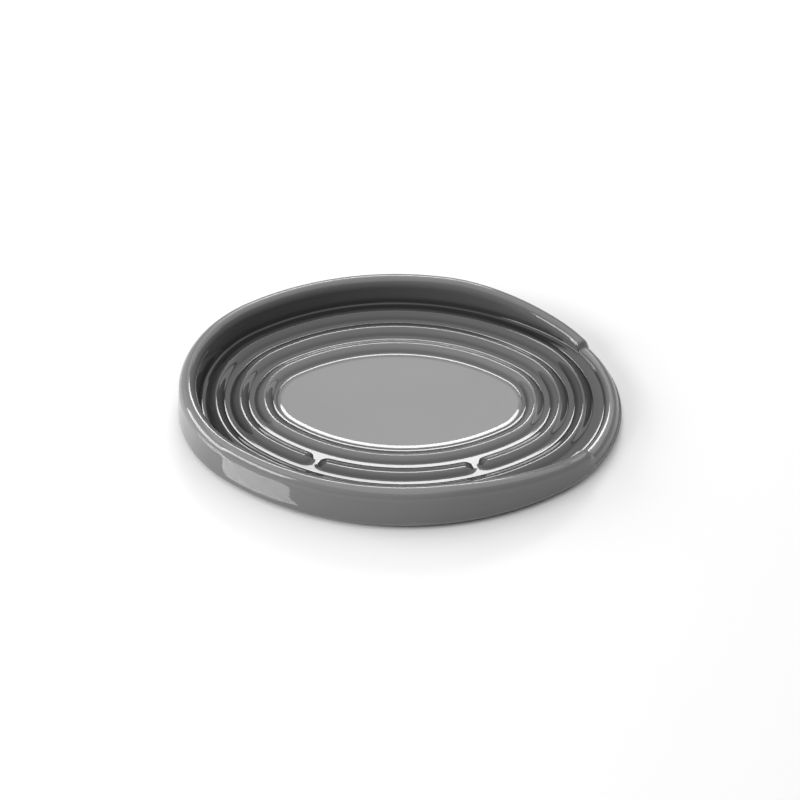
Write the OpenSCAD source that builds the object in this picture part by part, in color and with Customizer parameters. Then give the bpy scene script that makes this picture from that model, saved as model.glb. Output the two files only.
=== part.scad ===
// Oval spoon rest: a shallow stoneware dish with three raised rings round a flat middle,
// a tall rounded rim and a low notch at one end where the spoon's handle lies.
// Millimetres. The foot stands on z = 0, the notch is at +X and the middle of the oval is the origin.

/* [Oval] */
// Overall length, at the widest part of the wall
dish_len = 152; // [130:1:200]
// Overall width, at the widest part of the wall
dish_wid = 116; // [106:1:144]
// Radius of the two end arcs of the oval
end_r = 49; // [42:0.5:56]

/* [Wall and rim] */
// Height of the rim along the back and the sides
rim_h = 15.1; // [12:0.1:26]
// How far the rim would fall towards the notch end by the tip of the oval
rim_fall = 8.2; // [2:0.1:9]
// Distance from the middle at which the rim starts to fall
fall_start = 18; // [0:1:50]
// Distance from the outline to the inner face of the wall
wall_t = 6.9; // [5.5:0.1:8]
// Lean of the wall towards the middle, between its widest part and its rim
wall_lean = 0.8; // [0:0.1:1.5]
// Height of the widest part of the wall
wide_h = 2.7; // [2:0.1:4]
// Height of the rounding on the outside of the rim
rim_out_r = 4; // [2:0.1:6]
// Height of the rounding on the inside of the rim
rim_in_r = 3.2; // [1.5:0.1:5]

/* [Notch] */
// Width of the notch for the handle
notch_w = 54; // [30:1:64]
// Height of the notch's sill
sill_h = 6.8; // [6.4:0.1:8.5]
// How much thinner the wall is at the tip of the oval, behind the sill
sill_thin = 1.2; // [0:0.1:3]
// Length over which each end of the notch climbs to the rim
notch_round = 1.8; // [1:0.1:8]

/* [Rings] */
// Distance from the outline to the trough at the foot of the wall
trough_in = 8.85; // [8:0.05:11]
// Distance from one trough to the next
ring_pitch = 8.3; // [7.5:0.05:9.2]
// Width of a ring at its foot
ring_w = 7; // [4:0.1:7.5]
// Height of a ring above its troughs
ring_h = 1.2; // [0.5:0.1:2]
// Height of the floor in the outer trough
floor_edge_h = 5.2; // [4.8:0.1:6]
// Height of the floor in the inner trough
floor_mid_h = 3.7; // [3.2:0.1:4.6]
// Depth of the flat middle below the inner trough
flat_step = 0.1; // [0:0.05:0.4]
// Width of the slope between the inner trough and the flat middle
flat_edge = 2.2; // [0.5:0.1:4]

/* [Tablet] */
// Length of the gap in the middle ring
gap_len = 63; // [40:1:70]
// Length of the blank tablet in that gap, without its round ends
tablet_len = 46; // [20:1:50]
// Height of the tablet above the floor
tablet_h = 0.8; // [0.3:0.1:1.5]

/* [Foot] */
// Distance from the outline to the foot's outer edge
foot_in = 3.2; // [2.8:0.1:6]
// Width of the bare foot ring
foot_w = 6; // [3:0.1:12]
// Depth of the recess inside the foot ring
foot_h = 0.8; // [0.4:0.1:1.2]
// Distance from the outline to the lower edge of the glaze
glaze_in = 2.6; // [1.5:0.1:2.8]
// Height of the glaze's lower edge above the table
glaze_edge_h = 0.7; // [0.5:0.1:1.5]

/* [Glaze] */
// Thickness of the glaze over the well, rim and wall
glaze_t = 0.4; // [0.2:0.05:0.5]
// Thickness of the glaze under the dish
base_glaze_t = 0.3; // [0.2:0.05:0.4]
// Bare border between the glaze under the dish and the foot ring
wipe_gap = 1.2; // [0.5:0.1:4]

/* [Hidden] */
ring_count = 3;
overrun = 1;

// Counts of facets round the oval and along the section
notch_end_n = 30;
back_end_n = 18;
side_n = 20;
low_n = 3;
rim_n = 3;
wall_n = 4;
rib_n = 6;

// Shares that shape the section: where the crest lies in the rim's thickness, how soon the
// inner wall drops and runs out into its trough, and the powers of the falling rim's curve
// and of a ring's round back
crest_share = 0.53;
drop_share = 0.85;
run_shares = [0.06, 0.25];
sill_round_share = 0.75;
fall_power = 1.5;
rib_power = 2;

half_len = dish_len / 2;
half_wid = dish_wid / 2;
end_x = half_len - end_r;
side_r = (pow(end_x, 2) + pow(half_wid, 2) - pow(end_r, 2)) / (2 * (half_wid - end_r));
side_y = side_r - half_wid;
// Direction of the wall where an end arc meets a side arc
joint_a = atan2(side_y, end_x);

// A column of the oval is the centre of its arc, its radius and the direction it faces
function arc(centre, r, a0, a1, n) = [for (k = [0:n - 1]) [centre, r, a0 + (a1 - a0) * k / n]];
columns = concat(
    arc([end_x, 0], end_r, -joint_a, joint_a, notch_end_n),
    arc([0, -side_y], side_r, joint_a, 180 - joint_a, side_n),
    arc([-end_x, 0], end_r, 180 - joint_a, 180 + joint_a, back_end_n),
    arc([0, side_y], side_r, 180 + joint_a, 360 - joint_a, side_n)
);
column_n = len(columns);

function facing(c) = [cos(c[2]), sin(c[2])];
function inside(c, d) = c[0] + (c[1] - d) * facing(c);
function mix(a, b, t) = a + (b - a) * t;
function clamp(t) = max(0, min(1, t));
function smooth(t) = pow(clamp(t), 2) * (3 - 2 * clamp(t));

// Height of the rim: level, then falling towards the notch, with the sill across the notch
function fall_share(x) = pow(clamp((x - fall_start) / (half_len - fall_start)), fall_power);
function notch_share(p) = p[0] < 0 ? 0 : smooth((notch_w / 2 - abs(p[1])) / notch_round + 1 / 2);
function rim_z(c) = mix(
    rim_h - rim_fall * fall_share(inside(c, 0)[0]),
    sill_h,
    notch_share(inside(c, wall_t * crest_share))
);

// The floor slopes down from the wall to the middle, and each ring rises from it as a round rib
function floor_z(u) = mix(floor_edge_h, floor_mid_h, u / ring_count);
function rib(distance) = pow(sin(180 * clamp(1 / 2 - distance / ring_w)), rib_power);
// Distance along the middle ring from the middle of its gap, which is in the near side's arc
middle_ring_r = side_r - trough_in - ring_pitch * ring_count / 2;
function along(c) = c[0][1] > 0 ? middle_ring_r * abs(c[2] - 270) * PI / 180 : half_len;
function middle_rib(c, off) = let (
    past_end = max(0, gap_len / 2 - along(c)),
    past_tablet = max(0, along(c) - tablet_len / 2)
) ring_h * rib(norm([off, past_end])) + tablet_h * rib(norm([off, past_tablet]));
function rib_z(c, u) = let (
    ring = min(ring_count - 1, floor(u)),
    off = (u - ring - 1 / 2) * ring_pitch
) ring == 1 ? middle_rib(c, off) : ring_h * rib(abs(off));

// Height of the rounding inside the rim, which shrinks with the wall at the sill
function in_round(z) = min(rim_in_r, sill_round_share * (z - floor_edge_h));

// Section of the glazed surface at one column, from the foot up over the rim and in to the flat:
// each point has its distance in from the outline and its height
function low_section() = [for (k = [0:low_n]) let (a = 90 * k / low_n)
    [glaze_in * (1 - sin(a)), mix(wide_h, glaze_edge_h, cos(a))]];
function rim_section(crest, inner, z) = let (
    out_r = min(rim_out_r, z - wide_h),
    in_r = in_round(z)
) concat(
    [for (k = [0:rim_n]) let (a = 90 * k / rim_n)
        [mix(crest, wall_lean, cos(a)), z - out_r * (1 - sin(a))]],
    [for (k = [1:rim_n]) let (a = 90 * k / rim_n)
        [mix(crest, inner, sin(a)), z - in_r * (1 - cos(a))]]
);
function wall_section(inner, z) = [for (k = [1:wall_n]) let (
    t = k / wall_n,
    b1 = 3 * t * pow(1 - t, 2),
    b2 = 3 * pow(t, 2) * (1 - t),
    run = b1 * run_shares[0] + b2 * run_shares[1] + pow(t, 3),
    drop = b1 * drop_share + b2 + pow(t, 3)
) [mix(inner, trough_in, run), mix(z, floor_edge_h, drop)]];
function ring_section(c) = [for (k = [1:rib_n * ring_count]) let (u = k / rib_n)
    [trough_in + ring_pitch * u, floor_z(u) + rib_z(c, u)]];
flat_in = trough_in + ring_pitch * ring_count + flat_edge;
flat_h = floor_mid_h - flat_step;

function section(c) = let (
    z = rim_z(c),
    inner = wall_t - sill_thin * pow(max(0, cos(c[2])), 2),
    crest = mix(wall_lean, inner, crest_share)
) concat(
    low_section(),
    rim_section(crest, inner, z),
    wall_section(inner, z - in_round(z)),
    ring_section(c),
    [[flat_in, flat_h]]
);
function place(c, s) = let (p = inside(c, s[0])) [p[0], p[1], s[1]];

// Rows of the glazed surface, and the same rows sunk by the thickness of the glaze
sections = [for (c = columns) section(c)];
row_n = len(sections[0]);
skin = [for (j = [0:row_n - 1]) [for (i = [0:column_n - 1]) place(columns[i], sections[i][j])]];
function unit(v) = v / norm(v);
function outward(j, i) = j == 0 ? [0, 0, -1] : j == row_n - 1 ? [0, 0, 1] : unit(cross(
    skin[j][(i + 1) % column_n] - skin[j][(i + column_n - 1) % column_n],
    skin[j + 1][i] - skin[j - 1][i]
));
clay = [for (j = [0:row_n - 1]) [for (i = [0:column_n - 1]) skin[j][i] - glaze_t * outward(j, i)]];
flat_mid = [0, 0, flat_h];
clay_mid = flat_mid - [0, 0, glaze_t];

// Faces of the band between two rows of points, and of the fan from a row to one point
function band(a, b) = [for (i = [0:column_n - 1]) let (k = (i + 1) % column_n)
    each [[a + i, b + i, a + k], [a + k, b + i, b + k]]];
function fan(a, mid) = [for (i = [0:column_n - 1]) [a + i, mid, a + (i + 1) % column_n]];
function turned(faces) = [for (f = faces) [f[2], f[1], f[0]]];
function surface_faces(first) = [for (j = [0:row_n - 2])
    each band(first + j * column_n, first + (j + 1) * column_n)];
function points(rows) = [for (row = rows) each row];
skin_n = row_n * column_n;

function outline(d) = [for (c = columns) inside(c, d)];
function level(d, z) = [for (p = outline(d)) [p[0], p[1], z]];
recess_in = foot_in + foot_w;

// The fired clay, with its foot ring and the recess under it
module stoneware_body() {
    neck = level(foot_in, clay[0][0][2]);
    sole = level(foot_in, 0);
    color("tan")
    difference() {
        polyhedron(
            concat(sole, neck, points(clay), [clay_mid, [0, 0, 0]]),
            concat(
                turned(fan(0, skin_n + 2 * column_n + 1)),
                band(0, column_n),
                band(column_n, 2 * column_n),
                surface_faces(2 * column_n),
                fan(skin_n + column_n, skin_n + 2 * column_n)
            )
        );
        translate([0, 0, -overrun])
        linear_extrude(foot_h + overrun)
        polygon(outline(recess_in));
    }
}

// The glossy coat over the wall, the rim and the whole well, down to just above the foot ring
module glaze_coat() {
    color("gray")
    polyhedron(
        concat(points(skin), points(clay), [flat_mid, clay_mid]),
        concat(
            surface_faces(0),
            fan(skin_n - column_n, 2 * skin_n),
            turned(surface_faces(skin_n)),
            turned(fan(2 * skin_n - column_n, 2 * skin_n + 1)),
            band(skin_n, 0)
        )
    );
}

// The film of glaze on the roof of the recess, wiped clear of the foot ring
module base_glaze() {
    color("dimgray")
    translate([0, 0, foot_h - base_glaze_t])
    linear_extrude(base_glaze_t)
    polygon(outline(recess_in + wipe_gap));
}

stoneware_body();
glaze_coat();
base_glaze();
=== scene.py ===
import math

import bpy
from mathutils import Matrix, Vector


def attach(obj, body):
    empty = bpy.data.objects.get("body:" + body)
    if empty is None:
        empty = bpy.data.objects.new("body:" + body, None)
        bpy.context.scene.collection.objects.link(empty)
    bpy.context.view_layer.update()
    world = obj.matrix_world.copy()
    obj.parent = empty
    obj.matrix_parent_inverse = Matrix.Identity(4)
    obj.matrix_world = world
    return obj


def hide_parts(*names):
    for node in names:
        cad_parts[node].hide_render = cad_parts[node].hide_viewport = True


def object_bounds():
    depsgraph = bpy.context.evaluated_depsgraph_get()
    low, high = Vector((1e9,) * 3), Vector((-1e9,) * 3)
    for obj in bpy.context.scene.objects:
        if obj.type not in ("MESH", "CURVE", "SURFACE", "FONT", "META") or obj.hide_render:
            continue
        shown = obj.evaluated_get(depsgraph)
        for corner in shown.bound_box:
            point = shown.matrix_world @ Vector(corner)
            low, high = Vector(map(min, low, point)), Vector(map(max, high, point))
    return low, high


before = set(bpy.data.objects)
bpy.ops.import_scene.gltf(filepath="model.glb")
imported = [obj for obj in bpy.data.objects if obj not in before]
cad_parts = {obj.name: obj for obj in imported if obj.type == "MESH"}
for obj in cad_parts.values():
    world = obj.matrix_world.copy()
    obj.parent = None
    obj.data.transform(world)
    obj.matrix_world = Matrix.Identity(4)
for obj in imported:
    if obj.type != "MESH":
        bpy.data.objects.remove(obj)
cad_low, cad_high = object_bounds()

# Stoneware body
# The dish itself: cream stoneware pressed in a mould, fettled, and fired before it is glazed.
# It shows only at the foot ring, which is wiped bare so that the dish can stand in the kiln.
MM = 0.001
GLAZE_T = 0.4 * MM
RING_COUNT = 3
QUARTER = math.pi / 2

finished_sizes = {
    "Length": cad_high.x - cad_low.x,
    "Width": cad_high.y - cad_low.y,
    "End radius": 49 * MM,
    "Rim height": cad_high.z,
    "Rim fall": 8.2 * MM,
    "Fall start": 18 * MM,
    "Wall": 6.9 * MM,
    "Wall lean": 0.8 * MM,
    "Widest height": 2.7 * MM,
    "Outer rounding": 4 * MM,
    "Inner rounding": 3.2 * MM,
    "Notch width": 54 * MM,
    "Sill height": 6.8 * MM,
    "Sill thinning": 1.2 * MM,
    "Notch rounding": 1.8 * MM,
    "Trough inset": 8.85 * MM,
    "Ring pitch": 8.3 * MM,
    "Ring width": 7 * MM,
    "Ring height": 1.2 * MM,
    "Floor edge height": 5.2 * MM,
    "Floor middle height": 3.7 * MM,
    "Flat step": 0.1 * MM,
    "Flat edge": 2.2 * MM,
    "Flat bead": 0.09 * MM,
    "Ring gap": 63 * MM,
    "Tablet length": 46 * MM,
    "Tablet height": 0.8 * MM,
    "Glaze inset": 2.6 * MM,
    "Glaze edge height": 0.7 * MM,
    "Foot inset": 3.2 * MM,
    "Recess inset": 9.2 * MM,
    "Recess depth": 0.8 * MM,
    "Foot rounding": 0.3 * MM,
}

# The clay is the finished shape less the glaze: its outline, wall and rim draw in, its floor sinks.
clay_changes = {
    "Length": -2,
    "Width": -2,
    "End radius": -1,
    "Rim height": -1,
    "Wall": -2,
    "Notch width": 2,
    "Sill height": -1,
    "Trough inset": -1,
    "Floor edge height": -1,
    "Floor middle height": -1,
    "Glaze inset": -1,
    "Glaze edge height": 1,
    "Foot inset": -1,
    "Recess inset": -1,
}
clay_sizes = {
    name: size + GLAZE_T * clay_changes.get(name, 0) for name, size in finished_sizes.items()
}


def calc(operation, *values):
    """A Math node on measures and plain numbers."""
    tree = next(value.tree for value in values if isinstance(value, Measure))
    node = tree.nodes.new("ShaderNodeMath")
    node.operation = operation
    for socket, value in zip(node.inputs, values):
        if isinstance(value, Measure):
            tree.links.new(value.socket, socket)
        else:
            socket.default_value = value
    return Measure(tree, node.outputs[0])


class Measure:
    """A number in a node tree, on which arithmetic adds Math nodes."""

    def __init__(self, tree, socket):
        self.tree = tree
        self.socket = socket

    def __add__(self, other):
        return calc("ADD", self, other)

    def __radd__(self, other):
        return calc("ADD", other, self)

    def __sub__(self, other):
        return calc("SUBTRACT", self, other)

    def __rsub__(self, other):
        return calc("SUBTRACT", other, self)

    def __mul__(self, other):
        return calc("MULTIPLY", self, other)

    def __rmul__(self, other):
        return calc("MULTIPLY", other, self)

    def __truediv__(self, other):
        return calc("DIVIDE", self, other)

    def __pow__(self, other):
        return calc("POWER", self, other)


def clamp(value):
    return calc("MAXIMUM", calc("MINIMUM", value, 1), 0)


def smooth(value):
    t = clamp(value)
    return t * t * (3 - 2 * t)


def length_of(a, b):
    return calc("SQRT", a * a + b * b)


class OvalDish:
    """The dish's shape as a rule on a grid: columns run round the oval, rows along its section."""

    def __init__(self, name, sizes):
        self.tree = bpy.data.node_groups.new(name, "GeometryNodeTree")
        self.sizes = {}
        interface = self.tree.interface
        entry = self.tree.nodes.new("NodeGroupInput")
        for label in sizes:
            interface.new_socket(label, in_out="INPUT", socket_type="NodeSocketFloat")
        interface.new_socket("Finish", in_out="INPUT", socket_type="NodeSocketMaterial")
        interface.new_socket("Mesh", in_out="OUTPUT", socket_type="NodeSocketGeometry")
        for label in sizes:
            self.sizes[label] = Measure(self.tree, entry.outputs[label])
        self.finish = entry.outputs["Finish"]
        place = self.tree.nodes.new("GeometryNodeInputPosition")
        split = self.tree.nodes.new("ShaderNodeSeparateXYZ")
        self.tree.links.new(place.outputs[0], split.inputs[0])
        self.across = Measure(self.tree, split.outputs["X"]) + 0.5
        self.down = Measure(self.tree, split.outputs["Y"]) + 0.5
        self.round_the_oval()
        self.rim_and_sill()

    def round_the_oval(self):
        """Walks the four arcs of the outline, with more columns at the notch's ends and the tablet.
        Each stop has the radius of its arc, the direction it starts in and its count of columns."""
        s = self.sizes
        half_len = s["Length"] / 2
        half_wid = s["Width"] / 2
        end_r = s["End radius"]
        end_x = half_len - end_r
        side_r = (end_x * end_x + half_wid * half_wid - end_r * end_r) / (2 * (half_wid - end_r))
        joint = calc("ARCTAN2", side_r - half_wid, end_x)
        notch_end = calc("ARCSINE", s["Notch width"] / (2 * end_r))
        zone = s["Notch rounding"] * 2 / end_r
        stops = [
            (end_r, -1 * joint, 12),
            (end_r, -1 * notch_end - zone, 30),
            (end_r, zone - notch_end, 44),
            (end_r, notch_end - zone, 30),
            (end_r, notch_end + zone, 12),
            (side_r, joint, 66),
            (end_r, math.pi - joint, 70),
            (side_r, math.pi + joint, 106),
        ]
        ends = [start for _, start, _ in stops[1:]] + [2 * math.pi - joint]
        self.column_n = sum(count for _, _, count in stops)
        column = self.across * self.column_n
        x = end_x + end_r * calc("COSINE", joint)
        y = -1 * end_r * calc("SINE", joint)
        facing = -1 * joint
        first = 0
        for (radius, start, count), end in zip(stops, ends):
            turn = (end - start) * clamp((column - first) / count)
            angle = start + turn
            x = x + radius * (calc("COSINE", angle) - calc("COSINE", start))
            y = y + radius * (calc("SINE", angle) - calc("SINE", start))
            facing = facing + turn
            first += count
        self.half_len = half_len
        self.outline = (x, y)
        self.out_x = calc("COSINE", facing)
        self.out_y = calc("SINE", facing)
        ring_r = side_r - s["Trough inset"] - s["Ring pitch"] * (RING_COUNT / 2)
        self.along_tablet = ring_r * calc("ABSOLUTE", facing - 3 * QUARTER)

    def rim_and_sill(self):
        """The wall's thickness and the rim's height round the oval, with the notch's sill."""
        s = self.sizes
        crest_share = 0.53
        sill_round_share = 0.75
        fall_power = 1.5
        x, y = self.outline
        fall = clamp((x - s["Fall start"]) / (self.half_len - s["Fall start"])) ** fall_power
        level = s["Rim height"] - s["Rim fall"] * fall
        off_axis = calc("ABSOLUTE", y - s["Wall"] * crest_share * self.out_y)
        notch = smooth((s["Notch width"] / 2 - off_axis) / s["Notch rounding"] + 0.5)
        notch = notch * calc("GREATER_THAN", x, 0)
        self.rim = level + (s["Sill height"] - level) * notch
        end_on = calc("MAXIMUM", self.out_x, 0)
        self.inner = s["Wall"] - s["Sill thinning"] * end_on * end_on
        self.crest = s["Wall lean"] + (self.inner - s["Wall lean"]) * crest_share
        self.out_r = calc("MINIMUM", s["Outer rounding"], self.rim - s["Widest height"])
        wall_rise = self.rim - s["Floor edge height"]
        self.in_r = calc("MINIMUM", s["Inner rounding"], wall_rise * sill_round_share)

    def rib(self, distance):
        """A ring's round back, from 1 at its crest to 0 in the troughs beside it."""
        half_turn = math.pi * clamp(0.5 - distance / self.sizes["Ring width"])
        return calc("SINE", half_turn) ** 2

    def rings(self, t):
        """The floor slopes down to the middle, and the middle ring breaks off round the tablet."""
        s = self.sizes
        inside_last_ring = RING_COUNT - 0.001
        u = t * RING_COUNT
        ring = calc("FLOOR", calc("MINIMUM", u, inside_last_ring))
        off = (u - ring - 0.5) * s["Ring pitch"]
        middle = calc("COMPARE", ring, 1, 0.5)
        past_end = calc("MAXIMUM", s["Ring gap"] / 2 - self.along_tablet, 0) * middle
        past_tablet = calc("MAXIMUM", self.along_tablet - s["Tablet length"] / 2, 0)
        ribs = s["Ring height"] * self.rib(length_of(off, past_end))
        ribs = ribs + s["Tablet height"] * middle * self.rib(length_of(off, past_tablet))
        dip = (s["Floor middle height"] - s["Floor edge height"]) * t
        # How deep in a trough a point lies; it darkens the glaze there, as pooled glaze and painted
        # shade.
        self.pool_and_shade = 1 - ribs / s["Ring height"]
        return s["Ring pitch"] * u, dip + ribs

    def inner_wall(self, t):
        """A curve down from the rim's rounding and out into the trough at its foot."""
        s = self.sizes
        early_run_share = 0.06
        late_run_share = 0.25
        early_drop_share = 0.85
        early = 3 * t * (1 - t) * (1 - t)
        late = 3 * t * t * (1 - t)
        run = early * early_run_share + late * late_run_share + t * t * t
        drop = early * early_drop_share + late + t * t * t
        height = self.rim - self.in_r - s["Floor edge height"]
        return (s["Trough inset"] - self.inner) * run, -1 * height * drop

    def flat_edge(self, t):
        """A fine bead of glaze, steep outside and long inside, then the slight step down to the flat."""
        s = self.sizes
        to_full_height = 27 / 4
        bead = s["Flat bead"] * to_full_height * t * (1 - t) * (1 - t)
        return s["Flat edge"] * t, bead - s["Flat step"] * t * (2 - t)

    def glazed_section(self):
        """Stretches of the section from the glaze's lower edge, over the rim, to the flat middle.
        Each has its count of rows, its share of the journey and its way inwards and upwards."""
        s = self.sizes
        low_rise = s["Widest height"] - s["Glaze edge height"]
        return [
            (6, 0.1, lambda t: (-1 * s["Glaze inset"] * calc("SINE", t * QUARTER),
                                low_rise * (1 - calc("COSINE", t * QUARTER)))),
            (2, 0.1, lambda t: (s["Wall lean"] * t,
                                (self.rim - self.out_r - s["Widest height"]) * t)),
            (8, 0.1, lambda t: ((self.crest - s["Wall lean"]) * (1 - calc("COSINE", t * QUARTER)),
                                self.out_r * calc("SINE", t * QUARTER))),
            (7, 0.1, lambda t: ((self.inner - self.crest) * calc("SINE", t * QUARTER),
                                self.in_r * (calc("COSINE", t * QUARTER) - 1))),
            (8, 0.1, self.inner_wall),
            (84, 0.4, self.rings),
            (10, 0.1, self.flat_edge),
        ]

    def foot_section(self):
        """Stretches from the roof of the recess, down round the bare foot ring and up to the glaze."""
        s = self.sizes
        r = s["Foot rounding"]
        return [
            (1, 0, lambda t: (0 * t, (r - s["Recess depth"]) * t)),
            (3, 0, lambda t: (r * (calc("COSINE", t * QUARTER) - 1),
                              -1 * r * calc("SINE", t * QUARTER))),
            (3, 0, lambda t: ((s["Foot inset"] - s["Recess inset"] + 2 * r) * t, 0 * t)),
            (3, 0, lambda t: (-1 * r * calc("SINE", t * QUARTER),
                              r * (1 - calc("COSINE", t * QUARTER)))),
            (1, 0, lambda t: (0 * t, (s["Glaze edge height"] - r) * t)),
            (1, 0, lambda t: ((s["Glaze inset"] - s["Foot inset"]) * t, 0 * t)),
        ]

    def mesh(self, with_foot):
        """Lays the grid on the section and closes its seam and its middle."""
        s = self.sizes
        tree = self.tree
        middle_rows = 3
        pool_and_shade_at_floor = 1.3
        pool_and_shade_fade = 3 * MM
        weld_distance = 0.002 * MM
        stretches = self.glazed_section()
        inset, height = s["Glaze inset"], s["Glaze edge height"]
        if with_foot:
            stretches = self.foot_section() + stretches
            inset, height = s["Recess inset"], s["Recess depth"]
        first = middle_rows if with_foot else 0
        row_n = first + sum(count for count, _, _ in stretches) + middle_rows
        row = self.down * row_n
        spread = clamp((row_n - row) / middle_rows)
        if with_foot:
            spread = spread * clamp(row / middle_rows)
        journey = 0
        for count, share, way in stretches:
            t = clamp((row - first) / count)
            inwards, upwards = way(t)
            inset = inset + inwards
            height = height + upwards
            journey = journey + share * t
            first += count
        # The trough darkening, held to the well's floor: pooled glaze and painted shade.
        pool_and_shade = self.pool_and_shade * clamp(pool_and_shade_at_floor - (height - s["Floor edge height"]) / pool_and_shade_fade)
        x = (self.outline[0] - inset * self.out_x) * spread
        y = (self.outline[1] - inset * self.out_y) * spread
        place = tree.nodes.new("ShaderNodeCombineXYZ")
        for socket, value in zip(place.inputs, (x, y, height)):
            tree.links.new(value.socket, socket)
        grid = tree.nodes.new("GeometryNodeMeshGrid")
        grid.inputs["Size X"].default_value = 1
        grid.inputs["Size Y"].default_value = 1
        grid.inputs["Vertices X"].default_value = self.column_n + 1
        grid.inputs["Vertices Y"].default_value = row_n + 1
        lay = tree.nodes.new("GeometryNodeSetPosition")
        close = tree.nodes.new("GeometryNodeMergeByDistance")
        close.inputs["Distance"].default_value = weld_distance
        soften = tree.nodes.new("GeometryNodeSetShadeSmooth")
        realize = tree.nodes.new("GeometryNodeRealizeInstances")
        paint = tree.nodes.new("GeometryNodeSetMaterial")
        leave = tree.nodes.new("NodeGroupOutput")
        tree.links.new(place.outputs[0], lay.inputs["Position"])
        tree.links.new(self.finish, paint.inputs["Material"])
        marks = []
        for label, value in (("journey", journey), ("pool_and_shade", pool_and_shade)):
            mark = tree.nodes.new("GeometryNodeStoreNamedAttribute")
            mark.domain = "POINT"
            mark.data_type = "FLOAT"
            mark.inputs["Name"].default_value = label
            tree.links.new(value.socket, mark.inputs["Value"])
            marks.append(mark)
        chain = [grid, *marks, lay, close, soften, realize, paint, leave]
        for before, after in zip(chain, chain[1:]):
            tree.links.new(before.outputs[0], after.inputs[0])
        return tree


def baked_piece(name, tree, sizes, finish, shell=0):
    """A piece's plain mesh from its tree, with a wall's thickness set inwards where it has one."""
    piece = bpy.data.objects.new(name, bpy.data.meshes.new(name))
    bpy.context.scene.collection.objects.link(piece)
    shape = piece.modifiers.new("shape", "NODES")
    shape.node_group = tree
    for item in tree.interface.items_tree:
        if item.in_out == "INPUT":
            shape[item.identifier] = finish if item.name == "Finish" else sizes[item.name]
    if shell:
        wall = piece.modifiers.new("wall", "SOLIDIFY")
        wall.thickness = shell
        wall.offset = -1
        wall.use_even_offset = True
    shown = piece.evaluated_get(bpy.context.evaluated_depsgraph_get())
    mesh = bpy.data.meshes.new_from_object(shown)
    piece.modifiers.clear()
    piece.data = mesh
    mesh.name = name
    return piece


def material_nodes(name):
    """A new material with its node tree, its Principled shader and a maker of linked nodes."""
    material = bpy.data.materials.new(name)
    material.use_nodes = True
    tree = material.node_tree
    shader = tree.nodes["Principled BSDF"]

    def add(kind, inputs=None, **settings):
        node = tree.nodes.new(kind)
        for key, value in settings.items():
            setattr(node, key, value)
        for key, value in (inputs or {}).items():
            if isinstance(value, bpy.types.NodeSocket):
                tree.links.new(value, node.inputs[key])
            else:
                node.inputs[key].default_value = value
        return node

    return material, tree, shader, add


def biscuit_clay():
    """Fired stoneware: cream, dry and finely grained, with darker iron specks."""
    material, tree, shader, add = material_nodes("biscuit_clay")
    place = add("ShaderNodeTexCoord").outputs["Object"]
    grain = add("ShaderNodeTexNoise", {"Vector": place, "Scale": 900.0, "Detail": 4.0})
    specks = add("ShaderNodeTexVoronoi", {"Vector": place, "Scale": 420.0})
    tone = add("ShaderNodeValToRGB", {"Fac": grain.outputs["Fac"]})
    tone.color_ramp.elements[0].position = 0.3
    tone.color_ramp.elements[0].color = (0.50, 0.42, 0.32, 1)
    tone.color_ramp.elements[1].position = 0.7
    tone.color_ramp.elements[1].color = (0.66, 0.58, 0.47, 1)
    iron = add("ShaderNodeMapRange", {"Value": specks.outputs["Distance"],
                                      "From Min": 0.1, "From Max": 0.16})
    speckled = add("ShaderNodeMix", {"Factor": iron.outputs["Result"]}, data_type="RGBA")
    iron_colour, clay_colour = [socket for socket in speckled.inputs if socket.type == "RGBA"]
    both_colours = next(socket for socket in speckled.outputs if socket.type == "RGBA")
    iron_colour.default_value = (0.24, 0.17, 0.11, 1)
    tree.links.new(tone.outputs["Color"], clay_colour)
    tree.links.new(both_colours, shader.inputs["Base Color"])
    bump = add("ShaderNodeBump", {"Height": grain.outputs["Fac"],
                                  "Strength": 0.25, "Distance": 0.15 * MM})
    tree.links.new(bump.outputs["Normal"], shader.inputs["Normal"])
    shader.inputs["Roughness"].default_value = 0.85
    return material


clay_tree = OvalDish("clay_shape", finished_sizes).mesh(with_foot=True)
stoneware_body = baked_piece("fired_body", clay_tree, clay_sizes, biscuit_clay())
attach(stoneware_body, "root")
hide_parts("stoneware_body")

# Glaze coat
# A neutral grey gloss glaze, sprayed over the wall, the rim and the whole well and fired on.
# It thins a little over the crests, pools in the troughs, and stops in a lip above the foot ring.
# The troughs are also painted darker than pooling alone would make them, as painted shade.


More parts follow.
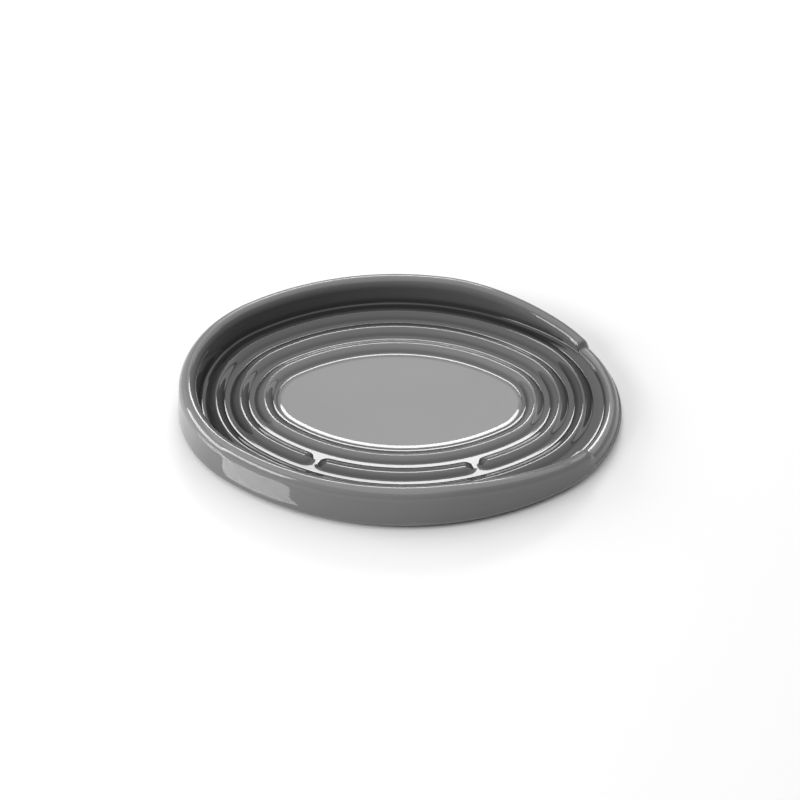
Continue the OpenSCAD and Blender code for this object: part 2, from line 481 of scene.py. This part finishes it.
def grey_gloss():
    """Glassy grey glaze, darker in the troughs as pooled glaze and painted shade, with a faint orange
    peel and slow drifts of tone.
    """
    material, tree, shader, add = material_nodes("grey_gloss")
    place = add("ShaderNodeTexCoord").outputs["Object"]
    drift = add("ShaderNodeTexNoise", {"Vector": place, "Scale": 28.0, "Detail": 3.0})
    journey = add("ShaderNodeAttribute", attribute_name="journey").outputs["Fac"]
    pool_and_shade = add("ShaderNodeAttribute", attribute_name="pool_and_shade").outputs["Fac"]
    tone = add("ShaderNodeValToRGB", {"Fac": journey})
    steps = tone.color_ramp.elements
    # The greys follow the section: the glaze's own ombre, lighter in the flat middle and darker out to
    # the wall. Its darkest grey, in the trough at the inner wall's foot, and the darker lip at the outer
    # wall's foot are partly painted shade.
    wall_greys = ((0.0, 0.16), (0.2, 0.175), (0.27, 0.185), (0.31, 0.15), (0.4, 0.115))
    well_greys = ((0.45, 0.08), (0.5, 0.05), (0.63, 0.065), (0.77, 0.105), (0.9, 0.15), (0.97, 0.195),
                  (1.0, 0.2))
    steps.remove(steps[1])
    for position, grey in wall_greys + well_greys:
        step = steps.new(position) if position else steps[0]
        step.color = (grey, grey, grey, 1)
    # Troughs and the inner wall's foot are darkened: partly pooled glaze, partly painted shade.
    in_troughs = add("ShaderNodeMapRange", {"Value": pool_and_shade, "From Min": 0.3,
                                            "To Min": 1.0, "To Max": 0.4},
                     interpolation_type="SMOOTHSTEP")
    ringed = add("ShaderNodeMapRange", {"Value": journey, "From Min": 0.33, "From Max": 0.4})
    past_rings = add("ShaderNodeMapRange", {"Value": journey, "From Min": 0.9, "From Max": 0.99})
    band = add("ShaderNodeMath", {0: ringed.outputs[0], 1: past_rings.outputs[0]},
               operation="SUBTRACT")
    darker = add("ShaderNodeMix", {"Factor": band.outputs[0], "A": 1.0, "B": in_troughs.outputs[0]},
                 data_type="FLOAT")
    drifting = add("ShaderNodeMapRange", {"Value": drift.outputs["Fac"], "To Min": 0.94, "To Max": 1.06})
    shade = add("ShaderNodeMath", {0: darker.outputs[0], 1: drifting.outputs[0]}, operation="MULTIPLY")
    mixed = add("ShaderNodeVectorMath", {0: tone.outputs["Color"], 1: shade.outputs[0]},
                operation="MULTIPLY")
    tree.links.new(mixed.outputs[0], shader.inputs["Base Color"])
    peel = add("ShaderNodeTexNoise", {"Vector": place, "Scale": 260.0, "Detail": 1.0})
    bump = add("ShaderNodeBump", {"Height": peel.outputs["Fac"],
                                  "Strength": 0.06, "Distance": 0.05 * MM})
    tree.links.new(bump.outputs["Normal"], shader.inputs["Normal"])
    shader.inputs["Roughness"].default_value = 0.05
    shader.inputs["IOR"].default_value = 1.52
    return material


glaze_tree = OvalDish("glaze_shape", finished_sizes).mesh(with_foot=False)
glaze_coat = baked_piece("grey_glaze_coat", glaze_tree, finished_sizes, grey_gloss(), shell=GLAZE_T)
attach(glaze_coat, "root")
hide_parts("glaze_coat")

# Base glaze
# The same glaze, brushed thinly on the roof of the recess and fired on with the coat.
# It is wiped clear of the foot ring, so a bare border parts the two glazes.


def brushed_gloss():
    """Thinner grey glaze, glossy, with faint brush marks along the dish."""
    material, tree, shader, add = material_nodes("brushed_gloss")
    place = add("ShaderNodeTexCoord").outputs["Object"]
    strokes = add("ShaderNodeMapping", {"Vector": place, "Scale": (25.0, 260.0, 25.0)})
    marks = add("ShaderNodeTexNoise", {"Vector": strokes.outputs["Vector"],
                                       "Scale": 1.0, "Detail": 3.0})
    tone = add("ShaderNodeMapRange", {"Value": marks.outputs["Fac"], "From Min": 0.3, "From Max": 0.7,
                                      "To Min": 0.13, "To Max": 0.2})
    tree.links.new(tone.outputs[0], shader.inputs["Base Color"])
    bump = add("ShaderNodeBump", {"Height": marks.outputs["Fac"],
                                  "Strength": 0.15, "Distance": 0.05 * MM})
    tree.links.new(bump.outputs["Normal"], shader.inputs["Normal"])
    shader.inputs["Roughness"].default_value = 0.12
    shader.inputs["IOR"].default_value = 1.52
    return material


base_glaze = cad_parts["base_glaze"]
for finish in base_glaze.material_slots:
    finish.material = brushed_gloss()

# Studio
# A pale tabletop under a large soft overhead box, with soft boxes low at the left and at the left
# front, a small bright one behind, and dim panels above that and at the right rear.


def pale_tabletop():
    """Pale and matt, with a polish in front of the dish that only reflections pick up."""
    material, tree, shader, add = material_nodes("pale_tabletop")
    shader.inputs["Base Color"].default_value = (0.8, 0.8, 0.8, 1)
    shader.inputs["Roughness"].default_value = 0.9
    shader.inputs["Specular IOR Level"].default_value = 0.0
    polish = add("ShaderNodeBsdfGlossy", {"Color": (0.85, 0.85, 0.85, 1), "Roughness": 0.02})
    place = add("ShaderNodeSeparateXYZ", {0: add("ShaderNodeTexCoord").outputs["Object"]})
    front = add("ShaderNodeMapRange", {"Value": place.outputs["Y"],
                                       "From Min": -20 * MM, "From Max": -35 * MM, "To Max": 0.4})
    path = add("ShaderNodeLightPath")
    seen = add("ShaderNodeMath", {0: path.outputs["Is Glossy Ray"], 1: front.outputs[0]},
               operation="MULTIPLY")
    mix = add("ShaderNodeMixShader", {0: seen.outputs[0], 1: shader.outputs[0], 2: polish.outputs[0]})
    tree.links.new(mix.outputs[0], tree.nodes["Material Output"].inputs["Surface"])
    return material


floor_half = 3.0
floor_mesh = bpy.data.meshes.new("tabletop")
floor_corners = [(-1, -1), (1, -1), (1, 1), (-1, 1)]
floor_points = [(x * floor_half, y * floor_half, 0) for x, y in floor_corners]
floor_mesh.from_pydata(floor_points, [], [(0, 1, 2, 3)])
floor_mesh.materials.append(pale_tabletop())
tabletop = bpy.data.objects.new("tabletop", floor_mesh)
bpy.context.scene.collection.objects.link(tabletop)


def soft_box(name, location, width, height, brightness):
    """A lamp aimed at the dish, with a face as bright as white paper times the brightness."""
    lamp = bpy.data.lights.new(name, "AREA")
    lamp.shape = "RECTANGLE"
    lamp.size = width
    lamp.size_y = height
    lamp.energy = brightness * math.pi * width * height
    box = bpy.data.objects.new(name, lamp)
    box.location = location
    box.rotation_euler = (-Vector(location)).to_track_quat("-Z", "Y").to_euler()
    bpy.context.scene.collection.objects.link(box)


soft_box("overhead_box", (0.1, 0.1, 1.3), width=2.2, height=2.0, brightness=1.25)
soft_box("left_box", (-1.13, 0.04, 0.4), width=0.9, height=0.42, brightness=8)
soft_box("front_left_box", (-0.868, -0.486, 0.66), width=0.58, height=0.38, brightness=8)
soft_box("back_box", (-0.02, 1.075, 0.735), width=0.5, height=0.24, brightness=13)
soft_box("back_panel", (0.12, 0.88, 0.951), width=0.95, height=0.36, brightness=0.5)
soft_box("right_panel", (0.79, 0.62, 0.83), width=0.9, height=0.2, brightness=2)

world = bpy.data.worlds.new("studio")
world.use_nodes = True
world.node_tree.nodes["Background"].inputs["Color"].default_value = (0.15, 0.15, 0.15, 1)
bpy.context.scene.world = world

# Camera
# A long lens, 0.7 m from the dish, looks down at its near long side
# from a little to the right.
VIEW_ELEVATION = math.radians(42.5)
VIEW_AZIMUTH = math.radians(2.2)
VIEW_DISTANCE = 0.7
camera_aim = Vector((0.1, 1.6, 2.5)) * MM
view_back = Vector((
    math.sin(VIEW_AZIMUTH) * math.cos(VIEW_ELEVATION),
    -math.cos(VIEW_AZIMUTH) * math.cos(VIEW_ELEVATION),
    math.sin(VIEW_ELEVATION),
))
lens = bpy.data.cameras.new("camera")
lens.sensor_width = 36
lens.lens = 91.6
lens.clip_start = 0.01
camera = bpy.data.objects.new("camera", lens)
camera.location = camera_aim + view_back * VIEW_DISTANCE
camera.rotation_euler = (-view_back).to_track_quat("-Z", "Y").to_euler()
bpy.context.scene.collection.objects.link(camera)
bpy.context.scene.camera = camera
bpy.context.scene.view_settings.view_transform = "Standard"
